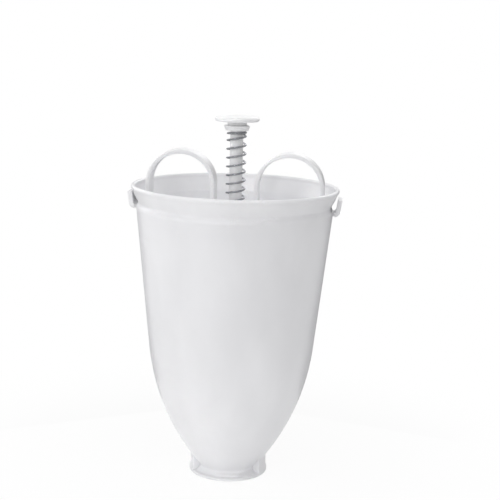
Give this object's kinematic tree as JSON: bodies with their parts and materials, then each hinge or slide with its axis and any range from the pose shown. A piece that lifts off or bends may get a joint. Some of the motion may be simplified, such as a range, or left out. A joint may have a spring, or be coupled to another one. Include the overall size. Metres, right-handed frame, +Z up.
{
  "type": "donut dropper",
  "caption": "Hand-held batter hopper with finger loops and a sprung thumb plunger; pressing the button lowers a disc below the outlet so that batter falls as a ring.",
  "frame": {"origin": "middle of the underside of the foot ring", "axes": "+Z up along the plunger, +X along the two finger loops, -Y towards the viewer of the picture"},
  "size_m": [0.11, 0.1064, 0.1877],
  "materials": {
    "hopper_plastic": "white moulded polypropylene, soft gloss",
    "loop_plastic": "white moulded polypropylene, soft gloss",
    "plunger_plastic": "white moulded polypropylene, soft gloss",
    "spring_wire": "drawn steel wire",
    "screw_steel": "stainless steel"
  },
  "bodies": {
    "hopper_body": {"hopper": "hopper_plastic", "left_finger_loop": "loop_plastic", "right_finger_loop": "loop_plastic", "guide_hub": "loop_plastic", "return_spring": "spring_wire"},
    "plunger": {"plunger_rod": "plunger_plastic", "spring_collar": "plunger_plastic", "thumb_button": "plunger_plastic", "valve_disc": "plunger_plastic", "valve_screw": "screw_steel"}
  },
  "joints": [
    {"name": "plunger_slide", "type": "slide", "parent": "hopper_body", "child": "plunger", "axis": [0, 0, -1], "range_m": [0, 0.015], "stiffness_N_per_m": 300, "springref_m": -0.012, "deforming": ["return_spring"]}
  ]
}
